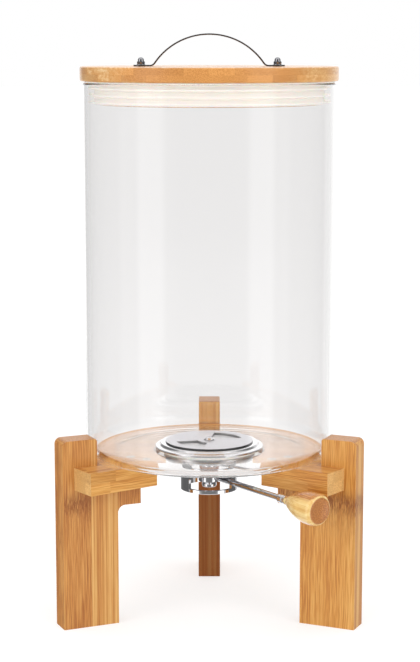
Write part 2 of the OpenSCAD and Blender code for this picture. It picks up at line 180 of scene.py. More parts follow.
def laid_strips(g, place, strip, offset, layer, block, brick, seed):
    """The strip that a place lies in: the place across the strips, the strip's number across the board,
    and a random number of its own. place is across the strips, through the layers and along the grain."""
    u, v, w = place
    row = g.math("FLOOR", g.math("DIVIDE", v, layer * MM))
    shifted = g.math("ADD", g.math("ADD", u, offset * MM), g.math("MULTIPLY", row, brick * strip * MM))
    column = g.math("FLOOR", g.math("DIVIDE", shifted, strip * MM))
    lane = g.node("TexWhiteNoise", {"Vector": g.join(column, row, seed)}).outputs[0]
    if block:
        start = g.math("MULTIPLY", lane, 7.0)
        cell = g.math("FLOOR", g.math("ADD", g.math("DIVIDE", w, block * MM), start))
        cell = g.join(column, row, g.math("ADD", cell, seed + 0.5))
        lane = g.node("TexWhiteNoise", {"Vector": cell}).outputs[0]
    return shifted, column, lane


def growth_ring(g, w, height, local, wobble):
    """How brown a growth ring of the cane is: a soft band of short tangled fibre, with strays below it."""
    tufts = g.smooth(g.noise(g.stretched(local, TUFTS), 1.0, 3.0, 0.6), 0.62, 0.4)
    level = g.math("SUBTRACT", w, g.math("ADD", (height - 8) * MM, g.math("MULTIPLY", wobble, 10 * MM)))
    band = g.smooth(g.math("ABSOLUTE", level), 14 * MM, 1 * MM)
    thinning = g.math("MULTIPLY", g.smooth(level, -36 * MM, -6 * MM), g.smooth(level, 10 * MM, 0.0))
    shade = g.math("MULTIPLY", band, g.math("ADD", 0.22, g.math("MULTIPLY", tufts, 0.36)))
    strays = g.math("MULTIPLY", thinning, g.math("MULTIPLY", tufts, 0.26))
    return g.math("ADD", shade, strays, clamp=True)


def fibres(g, place, lane):
    """Long stripes, dashes that wander a little and soft clouds of tone, not the same in any two strips.
    Gives first the place in the strip's own cane, and its wobble."""
    u, v, w = place
    drift = g.math("MULTIPLY", lane, 3.7)
    local = g.join(g.math("ADD", u, drift), g.math("ADD", v, drift), g.math("ADD", w, drift))
    stripes = g.smooth(g.noise(g.stretched(local, STRIPES), 1.0, 4.0, 0.62), 0.32, 0.68)
    wobble = g.noise(g.stretched(local, WOBBLES), 1.0, 2.0)
    bent = g.join(g.math("ADD", u, g.math("MULTIPLY", wobble, 0.0035)), v, g.math("ADD", w, drift))
    dashes = g.smooth(g.noise(g.stretched(bent, DASHES), 1.0, 3.0, 0.6), 0.34, 0.66)
    clouds = g.smooth(g.noise(g.stretched(local, CLOUDS), 1.0, 3.0), 0.3, 0.7)
    return local, wobble, stripes, dashes, clouds


def edge_shown(g, column, sideways, flat):
    """0 where the cane's flat side shows and 1 where its edge does. sideways is how far the face looks
    across the strips."""
    odd = g.math("ABSOLUTE", g.math("SINE", g.math("MULTIPLY", column, math.pi / 2)))
    wide = {"all": 0.0, "none": 1.0, "even": odd, "odd": g.math("SUBTRACT", 1.0, odd)}[flat]
    narrow = g.smooth(g.math("ABSOLUTE", sideways), 0.6, 0.8)
    return g.math("ADD", g.math("MULTIPLY", narrow, g.math("SUBTRACT", 1.0, wide)),
                  g.math("MULTIPLY", g.math("SUBTRACT", 1.0, narrow), wide))


def glue_line(g, value, pitch, width):
    """A thin line at every pitch, in millimetres."""
    share = g.math("FRACT", g.math("DIVIDE", value, pitch * MM))
    nearest = g.math("MINIMUM", share, g.math("SUBTRACT", 1.0, share))
    return g.smooth(nearest, width / pitch, 0.0)


def tone_by_strip(g, colour, lane, variety):
    """Gives each strip its own depth of tone."""
    deep = g.mix(1.0, colour, DEEP, "MULTIPLY")
    return g.mix(g.math("MULTIPLY", lane, variety * 2), colour, deep)


def end_grain(g, local, tones, speckle):
    """Dense dark specks on the lighter tone."""
    specks = g.smooth(g.noise(g.stretched(local, SPECKS), 1.0, 2.0), 0.42, 0.6)
    return g.mix(g.math("MULTIPLY", specks, speckle), tones[1], tones[0])


def bamboo(name, strip, flat, seed, grain=2, across=0, offset=0, layer=60, block=0, brick=0.0,
           flat_tones=FLAT_TONES, edge_tones=EDGE_TONES, end_tones=END_TONES, growth=(), variety=0.16,
           coat=0.12, roughness=0.42, glue=0.35, speckle=0.75, end_from=0.62, end_full=0.85,
           painted_shade=None):
    """Laminated bamboo, lengths in millimetres. grain and across are local axes. Strips lie side by side
    along across, in layers along the third axis. Even strips show the cane's flat side, with short
    dashes, and odd ones its edge, with long stripes; on a narrow face it is the other way round. Faces
    tilted between end_from and end_full towards the grain turn into end grain. growth lists the cane's
    rings as (height, strip). shaded is (height in metres, tone) of a painted shade: the face towards local
    -X is darkened below that height, standing in for the shade under the jar and its tie plate."""
    g = Graph(name)
    coordinates = g.node("TexCoord").outputs
    place = g.split(coordinates["Object"])
    facing = g.split(coordinates["Normal"])
    u, v, w = place[across], place[3 - grain - across], place[grain]
    shifted, column, lane = laid_strips(g, (u, v, w), strip, offset, layer, block, brick, seed)

    local, wobble, stripes, dashes, clouds = fibres(g, (u, v, w), lane)
    flat_value = g.math("ADD", g.math("MULTIPLY", dashes, 0.66), g.math("MULTIPLY", clouds, 0.34))
    edge_value = g.math("ADD", g.math("MULTIPLY", stripes, 0.8), g.math("MULTIPLY", dashes, 0.2))
    colour = g.mix(edge_shown(g, column, facing[across], flat),
                   g.ramp(flat_value, list(zip(TONE_STOPS, flat_tones))),
                   g.ramp(edge_value, list(zip(TONE_STOPS, edge_tones))))
    colour = tone_by_strip(g, colour, lane, variety)

    for height, growth_column in growth:
        brown = growth_ring(g, w, height, local, wobble)
        mine = 1.0
        if growth_column is not None:
            mine = g.math("COMPARE", column, float(growth_column), 0.5)
        colour = g.mix(g.math("MULTIPLY", brown, mine), colour, NODE_BROWN)

    # painted shade: the face towards local -X can be darkened below a height in metres, standing in for the
    # shade under the jar and its tie plate
    if painted_shade:
        height, tone = painted_shade
        below = g.math("MULTIPLY", g.smooth(w, height + 4 * MM, height - 4 * MM),
                       g.smooth(facing[0], -0.3, -0.7))
        colour = g.mix(below, colour, g.mix(1.0, colour, tone, "MULTIPLY"))

    joint = g.math("MAXIMUM", glue_line(g, shifted, strip, 0.3), glue_line(g, v, layer, 0.25))
    colour = g.mix(g.math("MULTIPLY", joint, glue), colour, flat_tones[0])
    on_end = g.smooth(g.math("ABSOLUTE", facing[grain]), end_from, end_full)
    colour = g.mix(on_end, colour, tone_by_strip(g, end_grain(g, local, end_tones, speckle), lane, variety))

    relief = g.math("ADD", g.math("MULTIPLY", dashes, 0.6), g.math("MULTIPLY", stripes, 0.3))
    relief = g.math("SUBTRACT", relief, g.math("MULTIPLY", joint, 0.5))
    rough = g.math("ADD", roughness - 0.06, g.math("MULTIPLY", dashes, 0.12))
    shader = g.principled(base_color=colour, roughness=rough, normal=g.bump(relief, 0.3, 0.12 * MM),
                          coat_weight=coat, coat_roughness=0.14, specular_ior_level=0.3)
    return g.finish(shader)


def glass(name):
    """Clear glass with a faint waviness. Lamps and scattered light shine straight through it."""
    g = Graph(name)
    place = g.node("TexCoord").outputs["Object"]
    wave = g.noise(g.stretched(place, (14, 14, 5)), 1.0, 1.0)
    shader = g.principled(base_color=(0.972, 0.966, 0.964, 1.0), roughness=0.0, ior=1.47,
                          transmission_weight=1.0, normal=g.bump(wave, 0.05, 2 * MM))
    clear = g.node("BsdfTransparent", {"Color": (0.98, 0.98, 0.98, 1.0)}).outputs[0]
    path = g.node("LightPath").outputs
    lighting = g.math("MAXIMUM", path["Is Shadow Ray"], path["Is Diffuse Ray"])
    both = g.node("MixShader", {0: lighting, 1: shader, 2: clear}).outputs[0]
    return g.finish(both)


def chrome(name, roughness=0.05, tint=(0.80, 0.80, 0.82, 1.0)):
    """Polished chrome with faint wiping marks."""
    g = Graph(name)
    place = g.node("TexCoord").outputs["Object"]
    smear = g.noise(g.stretched(place, (60, 60, 60)), 1.0, 4.0, 0.6)
    micro = g.noise(g.stretched(place, (900, 900, 900)), 1.0, 2.0)
    rough = g.math("ADD", roughness, g.math("MULTIPLY", smear, 0.06))
    worn = tuple(c * 0.85 for c in tint[:3]) + (1.0,)
    colour = g.mix(g.smooth(smear, 0.35, 0.75, 0.0, 0.3), tint, worn)
    shader = g.principled(base_color=colour, metallic=1.0, roughness=rough,
                          normal=g.bump(micro, 0.04, 0.05 * MM))
    return g.finish(shader)


def spun(name, tint=(0.60, 0.60, 0.62, 1.0), roughness=0.26, painted_shadow_from=1.0):
    """Stainless steel turned on a lathe: fine rings round the local Z axis. Upright edges are duller,
    partly for their own rougher cut and partly as painted shade on the walls of openings, and near black
    beyond the radius painted_shadow_from, in metres: a painted shadow of the groove round the part."""
    g = Graph(name)
    place = g.split(g.node("TexCoord").outputs["Object"])
    radius = g.math("SQRT", g.math("ADD", g.math("MULTIPLY", place[0], place[0]),
                                   g.math("MULTIPLY", place[1], place[1])))
    rings = g.noise(g.join(g.math("MULTIPLY", radius, 2600.0), 0.0, g.math("MULTIPLY", place[2], 400.0)),
                    1.0, 3.0, 0.6)
    smear = g.noise(g.stretched(g.join(place[0], place[1], place[2]), (50, 50, 50)), 1.0, 3.0)
    dull = tuple(c * 0.82 for c in tint[:3]) + (1.0,)
    level = g.math("ABSOLUTE", g.split(g.node("TexCoord").outputs["Normal"])[2])
    # painted shade: upright faces turn grey, and near black beyond painted_shadow_from as the painted
    # shadow of the groove round the plate
    edge = g.mix(g.math("GREATER_THAN", radius, painted_shadow_from), (0.5, 0.5, 0.5, 1.0), (0.03, 0.03, 0.03, 1.0))
    colour = g.mix(g.smooth(level, 0.5, 0.8), edge, g.mix(rings, dull, tint))
    rough = g.math("ADD", roughness - 0.05, g.math("MULTIPLY", g.math("ADD", rings, smear), 0.08))
    shader = g.principled(base_color=colour, metallic=1.0, roughness=rough,
                          normal=g.bump(rings, 0.12, 0.04 * MM))
    return g.finish(shader)


def brushed(name, tint, stretch, roughness):
    """Brushed stainless steel, brushed along one axis."""
    g = Graph(name)
    place = g.node("TexCoord").outputs["Object"]
    lines = g.noise(g.stretched(place, stretch), 1.0, 4.0, 0.65)
    smear = g.noise(g.stretched(place, (50, 50, 50)), 1.0, 3.0)
    colour = g.mix(lines, tuple(c * 0.8 for c in tint[:3]) + (1.0,), tint)
    rough = g.math("ADD", roughness - 0.06, g.math("MULTIPLY", g.math("ADD", lines, smear), 0.1))
    shader = g.principled(base_color=colour, metallic=1.0, roughness=rough,
                          normal=g.bump(lines, 0.15, 0.05 * MM))
    return g.finish(shader)


def silicone(name, colour, deep, glow):
    """Milky silicone rubber with fine mould texture. glow is painted light: an even emission that stands
    for the light that scatters inside it and brightens the rubber where it lies in shade under the lid and
    the glass.
    """
    g = Graph(name)
    place = g.node("TexCoord").outputs["Object"]
    cloud = g.noise(g.stretched(place, (45, 45, 45)), 1.0, 3.0)
    grain = g.noise(g.stretched(place, (1400, 1400, 1400)), 1.0, 2.0)
    tint = g.mix(g.smooth(cloud, 0.3, 0.8, 0.0, 0.35), colour, deep)
    # the emission is painted light, not a lamp
    shader = g.principled(base_color=tint, roughness=g.math("ADD", 0.38, g.math("MULTIPLY", grain, 0.14)),
                          subsurface_weight=0.25, subsurface_scale=3 * MM, specular_ior_level=0.35,
                          emission_color=colour, emission_strength=glow,
                          normal=g.bump(grain, 0.12, 0.05 * MM))
    return g.finish(shader)


# ---------------------------------------------------------------- mesh helpers

def new_piece(name, mesh, material, body, *replaced, at=None, slot=None, eased=False):
    """Puts a mesh in the scene as a piece that rides on a body and stands for CAD nodes."""
    piece = bpy.data.objects.new(name, mesh)
    bpy.context.scene.collection.objects.link(piece)
    piece.matrix_world = at if at is not None else Matrix.Translation(AXIS)
    piece.data.materials.clear()
    piece.data.materials.append(material)
    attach(piece, body)
    if replaced:
        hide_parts(*replaced)
    if not eased:
        weigh_normals(piece)
    return piece


def weigh_normals(piece):
    """Smooth shading that leaves the big flat and straight faces true."""
    normals = piece.modifiers.new("weighted_normals", "WEIGHTED_NORMAL")
    normals.keep_sharp = True


def arc(x, z, radius, start, end, steps):
    """Points of an arc in the lathe plane, angles in degrees."""
    return [(x + radius * math.cos(math.radians(start + (end - start) * i / steps)),
             z + radius * math.sin(math.radians(start + (end - start) * i / steps)))
            for i in range(steps + 1)]


def filleted(corners):
    """An outline with rounded corners, from (radius, height, how far the rounding reaches)."""
    steps = 4
    points = []
    for index, (x, z, reach) in enumerate(corners):
        corner = Vector((x, z))
        if not reach:
            points.append((x, z))
            continue
        before = Vector(corners[index - 1][:2]) - corner
        after = Vector(corners[(index + 1) % len(corners)][:2]) - corner
        start = corner + before.normalized() * reach
        end = corner + after.normalized() * reach
        for step in range(steps + 1):
            t = step / steps
            point = start * (1 - t) ** 2 + corner * 2 * t * (1 - t) + end * t ** 2
            points.append((point.x, point.y))
    return points


def turn_into(bm, outline, closed, segments, limit=None, centre=(0, 0)):
    """Adds a turned solid to bm from (radius, height) points in millimetres. limit(angle) caps the
    radius."""
    rings = []
    for radius, height in outline:
        count = 1 if radius < 1e-6 else segments
        ring = []
        for i in range(count):
            angle = 2 * math.pi * i / segments
            reach = min(radius, limit(angle)) if limit else radius
            ring.append(bm.verts.new(((centre[0] + reach * math.cos(angle)) * MM,
                                      (centre[1] + reach * math.sin(angle)) * MM, height * MM)))
        rings.append(ring)
    pairs = list(zip(rings, rings[1:])) + ([(rings[-1], rings[0])] if closed else [])
    for low, high in pairs:
        for i in range(segments):
            j = (i + 1) % segments
            corners = [low[i % len(low)], low[j % len(low)], high[j % len(high)], high[i % len(high)]]
            unique = list(dict.fromkeys(corners))
            if len(unique) > 2:
                bm.faces.new(unique)


def lathe(name, outline, closed=True, segments=SEGMENTS, crease=35):
    """A turned mesh from (radius, height) points. Points on the axis become one vertex."""
    bm = bmesh.new()
    turn_into(bm, outline, closed, segments)
    bmesh.ops.recalc_face_normals(bm, faces=bm.faces)
    return smooth_mesh(name, bm, crease)


def smooth_mesh(name, bm, crease):
    """A mesh made from bm, smooth but for the edges sharper than crease degrees."""
    mesh = bpy.data.meshes.new(name)
    bm.to_mesh(mesh)
    bm.free()
    mesh.shade_smooth()
    mesh.set_sharp_from_angle(angle=math.radians(crease))
    return mesh


def eased_copy(name, node, material, width, slot, turn=0.0):
    """A copy of a CAD node with its sharp edges eased, in axes turned about the jar's axis."""
    source = nodes[node]
    bm = bmesh.new()
    bm.from_mesh(source.data)
    bmesh.ops.remove_doubles(bm, verts=bm.verts, dist=0.005 * MM)
    bmesh.ops.dissolve_limit(bm, angle_limit=math.radians(0.8), verts=bm.verts, edges=bm.edges)
    bmesh.ops.recalc_face_normals(bm, faces=bm.faces)
    at = Matrix.Translation(AXIS) @ Matrix.Rotation(math.radians(turn), 4, "Z")
    bm.transform(at.inverted())
    mesh = bpy.data.meshes.new(name)
    bm.to_mesh(mesh)
    bm.free()
    piece = new_piece(name, mesh, material, source["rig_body"], node, at=at, slot=slot, eased=True)
    bevel = piece.modifiers.new("eased_edges", "BEVEL")
    bevel.width = width * MM
    bevel.segments = 2
    bevel.limit_method = "ANGLE"
    bevel.angle_limit = math.radians(38)
    bevel.use_clamp_overlap = True
    bevel.harden_normals = False
    mesh.shade_smooth()
    weigh_normals(piece)
    return piece


def dress(node, material):
    """Gives a CAD node a better material."""
    nodes[node].data.materials.clear()
    nodes[node].data.materials.append(material)


# ---------------------------------------------------------------- camera

CAMERA_DISTANCE = 1.4265
CAMERA_HEIGHT = 0.4629
CAMERA_PITCH = 9.11
CAMERA_ASIDE = 0.6 * MM
# in millimetres, for a sensor as long as the picture's long side
CAMERA_LENS = 95.9492
CAMERA_SENSOR = 36

camera_data = bpy.data.cameras.new("camera")
camera_data.sensor_width = CAMERA_SENSOR
camera_data.lens = CAMERA_LENS
camera = bpy.data.objects.new("camera", camera_data)
bpy.context.scene.collection.objects.link(camera)
camera.location = (AXIS.x + CAMERA_ASIDE, AXIS.y - CAMERA_DISTANCE, CAMERA_HEIGHT)
camera.rotation_euler = (math.radians(90 - CAMERA_PITCH), 0, 0)
bpy.context.scene.camera = camera


# ---------------------------------------------------------------- stand

LEG_TURNS = {"right_leg": -24, "left_leg": 204, "back_leg": 90}
RAIL_TURNS = {"right_rail": -36, "left_rail": 216, "back_left_rail": 90, "back_right_rail": 90}
LEG_STRIP = 23
LEG_OFFSET = 2 * LEG_STRIP - 84.7   # puts a joint between strips at the leg's inner face

left_wood = bamboo("bamboo_left_leg", strip=LEG_STRIP, offset=LEG_OFFSET, flat="odd",
                   growth=[(106, 3)], seed=3.0)
right_wood = bamboo("bamboo_right_leg", strip=LEG_STRIP, offset=LEG_OFFSET, flat="all",
                    growth=[(107, None)], flat_tones=GOLD_TONES, seed=4.0)
# the back leg's edge tones are lighter than the other legs': painted light that makes up for the light its
# horn lacks behind the glass. Below the shelf its inner face gets painted shade.
back_wood = bamboo("bamboo_back_leg", strip=12.7, offset=3.2, across=1, flat="none", seed=5.0,
                   edge_tones=(rgb(216, 148, 78), rgb(240, 186, 112), rgb(250, 212, 146)),
                   painted_shade=(0.133, (0.42, 0.27, 0.19, 1.0)))
LEG_WOODS = {"right_leg": right_wood, "left_leg": left_wood, "back_leg": back_wood}
for leg, turn in LEG_TURNS.items():
    eased_copy(leg + "_board", leg, LEG_WOODS[leg], width=1.0, turn=turn, slot="bamboo_stand")

for number, (rail, turn) in enumerate(RAIL_TURNS.items()):
    wood = bamboo("bamboo_" + rail, grain=0, across=2, strip=9.1, offset=3.4, layer=12.5, block=55,
                  flat="all", flat_tones=GOLD_TONES, end_tones=(rgb(196, 140, 78), rgb(236, 190, 122)),
                  variety=0.3, seed=11.0 + number)
    eased_copy(rail + "_bar", rail, wood, width=0.7, turn=turn, slot="bamboo_stand")

tie_wood = bamboo("bamboo_tie_plate", grain=0, across=1, strip=20, layer=8, block=90, flat="all",
                  flat_tones=GOLD_TONES, seed=21.0)
eased_copy("tie_plate_board", "tie_plate", tie_wood, width=0.6, slot="bamboo_stand")

zinc = brushed("zinc", tint=(0.62, 0.61, 0.57, 1.0), stretch=(300, 300, 300), roughness=0.32)
for screws in ("rail_screws", "tie_screws"):
    dress(screws, zinc)


# ---------------------------------------------------------------- jar

HAIRLINE = 0.06   # keeps the glass off the wood and rubber that it touches, so no faces coincide
JAR_R, WALL, HEEL, INNER_HEEL, FLOOR = 101.5, 4, 12, 9, 4
HOLE_R, RECESS_R, RECESS_H = 32, 75, 0.5
floor_z = jar_lo.z / MM + FLOOR
base_z, rim_z = jar_lo.z / MM + HAIRLINE, jar_hi.z / MM - HAIRLINE
glass_z, recess_z = floor_z - HAIRLINE, base_z + RECESS_H
# extra rings on the straight wall: two above the base and one below the rim
wall_heights = [base_z + 60, base_z + 160, rim_z - 40]

jar_outline = (
    [(HOLE_R, glass_z - 0.6), (HOLE_R + 0.6, glass_z)]
    + arc(JAR_R - WALL - INNER_HEEL, glass_z + INNER_HEEL, INNER_HEEL, -90, 0, 14)
    + [(JAR_R - WALL, height) for height in wall_heights]
    + arc(JAR_R - WALL / 2, rim_z - WALL / 2, WALL / 2, 180, 0, 12)
    + [(JAR_R, height) for height in reversed(wall_heights)]
    + arc(JAR_R - HEEL, base_z + HEEL, HEEL, 0, -90, 16)
    + [(RECESS_R + 0.8, base_z), (RECESS_R, recess_z)]
    + [(HOLE_R + 0.6, recess_z), (HOLE_R, recess_z + 0.6)]
)
new_piece("jar_glass", lathe("jar_glass", jar_outline, crease=60), glass("clear_glass"), "jar", "jar",
          slot="jar_glass")


# ---------------------------------------------------------------- outlet valve

mirror = chrome("mirror_chrome")
satin = spun("spun_steel")
# the plate's rim is painted near black: a painted shadow of the groove between plate and flange
plate_steel = spun("plate_steel", tint=(0.70, 0.69, 0.72, 1.0), roughness=0.3, painted_shadow_from=0.03)
# the gate disc is tinted lighter than the plate: painted light that makes up for the shade of its recess
gate_steel = spun("gate_steel", tint=(0.86, 0.86, 0.88, 1.0), roughness=0.5)
milky = silicone("milky_silicone", rgb(246, 244, 240), rgb(232, 228, 220), glow=0.1)

flange_lo, flange_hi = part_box("outlet_flange")
flange_r = (flange_hi.x - flange_lo.x) / 2 / MM
flange_z0, flange_z1 = flange_lo.z / MM, flange_hi.z / MM
plate_lo, plate_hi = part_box("port_plate")
plate_r, plate_z = (plate_hi.x - plate_lo.x) / 2 / MM, plate_lo.z / MM
TUBE_R, TUBE_BORE_R, COLLAR_R, GASKET_H = 31.5, 29, 24, 1
# the tube's floor, and how far in and down from the rim the two ends of the flange's step lie
TUBE_FLOOR, STEP_IN, STEP_DOWN, TOP_IN, RIM_DOWN = 2, 3.4, 2.0, 4.6, 2.6
CLEAR = 0.05
tube_floor = flange_z0 + TUBE_FLOOR
flange_foot = floor_z + GASKET_H
seat_r = plate_r + CLEAR
flange_outline = filleted([
    (TUBE_BORE_R, tube_floor, 0.2), (COLLAR_R + CLEAR, tube_floor, 0.1), (COLLAR_R + CLEAR, flange_z0, 0.3),
    (TUBE_R, flange_z0, 0.5), (TUBE_R, flange_foot, 0.2), (flange_r, flange_foot, 0.35),
    (flange_r, flange_z1 - RIM_DOWN, 0.7), (flange_r - STEP_IN, flange_z1 - STEP_DOWN, 0.7),
    (flange_r - TOP_IN, flange_z1, 0.6), (seat_r, flange_z1, 0.1), (seat_r, plate_z, 0.1),
    (TUBE_BORE_R, plate_z, 0.2)])
new_piece("outlet_flange_turned", lathe("outlet_flange_turned", flange_outline), mirror, "jar",
          "outlet_flange", slot="chrome")

for node, width, material, slot in (
        ("port_plate", 0.12, plate_steel, "chrome"), ("outlet_collar", 0.3, mirror, "chrome"),
        ("lock_nut", 0.4, satin, "steel"), ("spindle_bush", 0.2, milky, "bush_plastic"),
        ("flange_gasket", 0.25, milky, "silicone"), ("lower_gasket", 0.3, milky, "silicone"),
        ("gate_disc", 0.25, gate_steel, "steel"), ("spindle", 0.2, satin, "steel"),
        ("spindle_screw", 0.2, mirror, "chrome"), ("hub_washer", 0.1, satin, "steel"),
        ("lever_hub", 0.5, mirror, "steel"), ("cap_nut", 0.6, mirror, "chrome")):
    eased_copy(node + "_finished", node, material, width=width, slot=slot)


# ---------------------------------------------------------------- lever

rod_lo, rod_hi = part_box("lever_rod")
rod_way = (rod_lo + rod_hi) / 2 - AXIS
lever_turn = math.atan2(rod_way.y, rod_way.x)
ROD_Z, ROD_TILT, ROD_R, ROD_START = 113.2, 2, 2.5, 4.6
KNOB_START, KNOB_L, KNOB_R, KNOB_SWELL, KNOB_NOSE, KNOB_SHOULDER = 93, 38, 13, 32, 2, 4
KNOB_BORE = 15
FERRULE_R, FERRULE_L = 3.7, 8
# local Z runs outwards along the rod
lever_frame = (Matrix.Translation(AXIS + Vector((0, 0, ROD_Z * MM))) @ Matrix.Rotation(lever_turn, 4, "Z")
               @ Matrix.Rotation(math.radians(ROD_TILT + 90), 4, "Y"))

rod_outline = filleted([(0, ROD_START, 0), (ROD_R, ROD_START, 0.2),
                        (ROD_R, KNOB_START + KNOB_BORE - 1, 0.4), (0, KNOB_START + KNOB_BORE - 1, 0)])
rod_chrome = chrome("rod_chrome", roughness=0.09, tint=(0.68, 0.68, 0.70, 1.0))
new_piece("lever_rod_turned", lathe("lever_rod_turned", rod_outline, closed=False, segments=48), rod_chrome,
          "gate", "lever_rod", at=lever_frame, slot="steel")

# a sleeve with one turned groove
ferrule_outline = filleted([
    (ROD_R + 0.05, KNOB_START - FERRULE_L, 0.1), (FERRULE_R - 0.3, KNOB_START - FERRULE_L, 0.3),
    (FERRULE_R, KNOB_START - FERRULE_L + 0.8, 0.3), (FERRULE_R, KNOB_START - 3.2, 0.3),
    (FERRULE_R - 0.5, KNOB_START - 2.8, 0.2), (FERRULE_R - 0.5, KNOB_START - 2.2, 0.2),
    (FERRULE_R, KNOB_START - 1.8, 0.3), (FERRULE_R, KNOB_START, 0.1), (ROD_R + 0.05, KNOB_START, 0.1)])
new_piece("knob_ferrule_turned", lathe("knob_ferrule_turned", ferrule_outline, segments=64), mirror, "gate",
          "knob_ferrule", at=lever_frame, slot="steel")


def knob_outline():
    """A bullet-shaped knob with a soft shoulder and a shallow dish in its butt."""
    steps = 28
    bore_r = ROD_R + CLEAR
    points = [(0, KNOB_START + KNOB_BORE), (bore_r, KNOB_START + KNOB_BORE), (bore_r, KNOB_START),
              (FERRULE_R - 0.6, KNOB_START), (FERRULE_R - 0.3, KNOB_START + 0.2)]
    reach = KNOB_SWELL - KNOB_NOSE - 1
    for i in range(1, steps + 1):
        along = i * reach / steps
        swell = math.sin(math.radians(90 * (KNOB_NOSE + 1 + along) / KNOB_SWELL))
        points.append((KNOB_R * swell ** 0.8, KNOB_START + 1 + along))
    butt = KNOB_START + KNOB_L
    points += arc(KNOB_R - KNOB_SHOULDER, butt - KNOB_SHOULDER, KNOB_SHOULDER, 0, 84, 10)
    dish = KNOB_R - KNOB_SHOULDER - 0.6
    points += [(dish, butt - 0.25), (dish * 0.8, butt - 0.7), (dish * 0.5, butt - 1.0),
               (dish * 0.2, butt - 1.15), (0, butt - 1.2)]
    return points


# end grain only on the nearly flat dish, so the shoulder keeps the lighter side-grain tone: partly the
# wood's own grain, partly a painted highlight round the butt's rim
knob_wood = bamboo("bamboo_knob", grain=2, across=0, strip=200, offset=100, layer=200, flat="none",
                   edge_tones=(rgb(224, 176, 100), rgb(236, 198, 126), rgb(246, 218, 154)),
                   end_tones=(rgb(138, 76, 34), rgb(204, 136, 74)), coat=1.0, roughness=0.3, variety=0.0,
                   seed=41.0, glue=0.0, end_from=0.86, end_full=0.97)
new_piece("lever_knob_turned", lathe("lever_knob_turned", knob_outline(), closed=False, segments=96),
          knob_wood, "gate", "lever_knob", at=lever_frame, slot="bamboo_knob")


# ---------------------------------------------------------------- lid

LID_TONES = dict(
    flat_tones=(rgb(206, 142, 78), rgb(222, 168, 104), rgb(240, 198, 140)),
    edge_tones=(rgb(204, 142, 78), rgb(226, 174, 112), rgb(244, 208, 156)),
    end_tones=(rgb(192, 122, 56), rgb(226, 162, 92)))
lid_wood = bamboo("bamboo_lid", grain=1, across=0, strip=19, offset=9.5, layer=5.75, brick=0.5, flat="even",
                  variety=0.34, coat=0.35, roughness=0.36, seed=31.0, glue=0.6, speckle=0.6,
                  **LID_TONES)

lid_lo, lid_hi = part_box("lid_disc")
lid_r = (lid_hi.x - lid_lo.x) / 2 / MM
lid_z, lid_top = lid_lo.z / MM, lid_hi.z / MM
LID_EDGE = 1.6
lid_outline = filleted([
    (0, lid_z, 0), (lid_r, lid_z, LID_EDGE), (lid_r, lid_top, LID_EDGE), (0, lid_top, 0)])
new_piece("lid_disc_turned", lathe("lid_disc_turned", lid_outline, closed=False), lid_wood, "lid",
          "lid_disc", slot="bamboo_lid")
eased_copy("lid_plug_turned", "lid_plug", lid_wood, width=0.8, slot="bamboo_lid")

seal_lo, seal_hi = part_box("lid_seal")
seal_flange_r = (seal_hi.x - seal_lo.x) / 2 / MM
SEAL_IN, SEAL_BODY, SEAL_FIN, SEAL_STEP, SEAL_FLANGE_H = 89.55, 91.9, 97.2, 5.4, 1
seal_bottom, seal_top = seal_lo.z / MM, seal_hi.z / MM
seal_corners = [(SEAL_IN, seal_top, 0.1), (SEAL_IN, seal_bottom, 0.4)]
for fin in range(3):
    # from the body out to the fin's blunt tip and back
    root = seal_bottom + fin * SEAL_STEP
    seal_corners += [(SEAL_BODY, root + 0.05, 0.4 if fin == 0 else 0.8), (SEAL_FIN, root + 1.4, 0.4),
                     (SEAL_FIN, root + 2.4, 0.4), (SEAL_BODY, root + 1.8, 0.8)]
seal_corners += [(SEAL_BODY, seal_top - SEAL_FLANGE_H, 0.6),
                 (seal_flange_r, seal_top - SEAL_FLANGE_H, 0.45), (seal_flange_r, seal_top, 0.45)]
cream = silicone("cream_silicone", rgb(254, 249, 243), rgb(246, 239, 228), glow=0.06)
new_piece("lid_seal_moulded", lathe("lid_seal_moulded", filleted(seal_corners), crease=50), cream, "lid",
          "lid_seal", slot="silicone")

handle_lo, handle_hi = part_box("lid_handle")
HANDLE_W, STRIP_T, BOW_SPAN, BEND = 12, 1.2, 46, 2.6
handle_reach = (handle_hi.x - handle_lo.x) / 2 / MM
handle_rise = (handle_hi.z - handle_lo.z) / MM
bow_r = (BOW_SPAN ** 2 + handle_rise ** 2) / (2 * handle_rise)


def handle_path():
    """Middle line of the strip: tab, bend, bow, bend, tab, as (x, z, half width) in millimetres."""
    middle_r = bow_r - STRIP_T / 2
    bow_z = lid_top + handle_rise - bow_r
    tab_z = lid_top + STRIP_T / 2
    foot = math.sqrt(middle_r ** 2 - (tab_z - bow_z) ** 2)
    half = math.degrees(math.atan2(foot, tab_z - bow_z))
    bend_angle = math.degrees(BEND / middle_r)
    sweep = 90 - half + bend_angle
    bow = [(middle_r * math.cos(math.radians(a)), bow_z + middle_r * math.sin(math.radians(a)))
           for a in [180 - sweep + (2 * sweep - 180) * i / 60 for i in range(61)]]
    corner = Vector((-foot, tab_z))
    start, end = corner - Vector((BEND, 0)), Vector(bow[0])
    bend = []
    for i in range(6):
        t = i / 6
        point = start * (1 - t) ** 2 + corner * 2 * t * (1 - t) + end * t ** 2
        bend.append((point.x, point.y))
    round_end = [(-handle_reach + HANDLE_W / 2 * (1 - math.cos(math.radians(a))), tab_z)
                 for a in range(6, 91, 12)]
    left = round_end + [((round_end[-1][0] + start.x) / 2, tab_z)] + bend
    middle = left + bow + [(-x, z) for x, z in reversed(left)]
    path = []
    for x, z in middle:
        inset = max(0.0, abs(x) - (handle_reach - HANDLE_W / 2))
        path.append((x, z, math.sqrt(max(0.04, (HANDLE_W / 2) ** 2 - inset ** 2))))
    return path


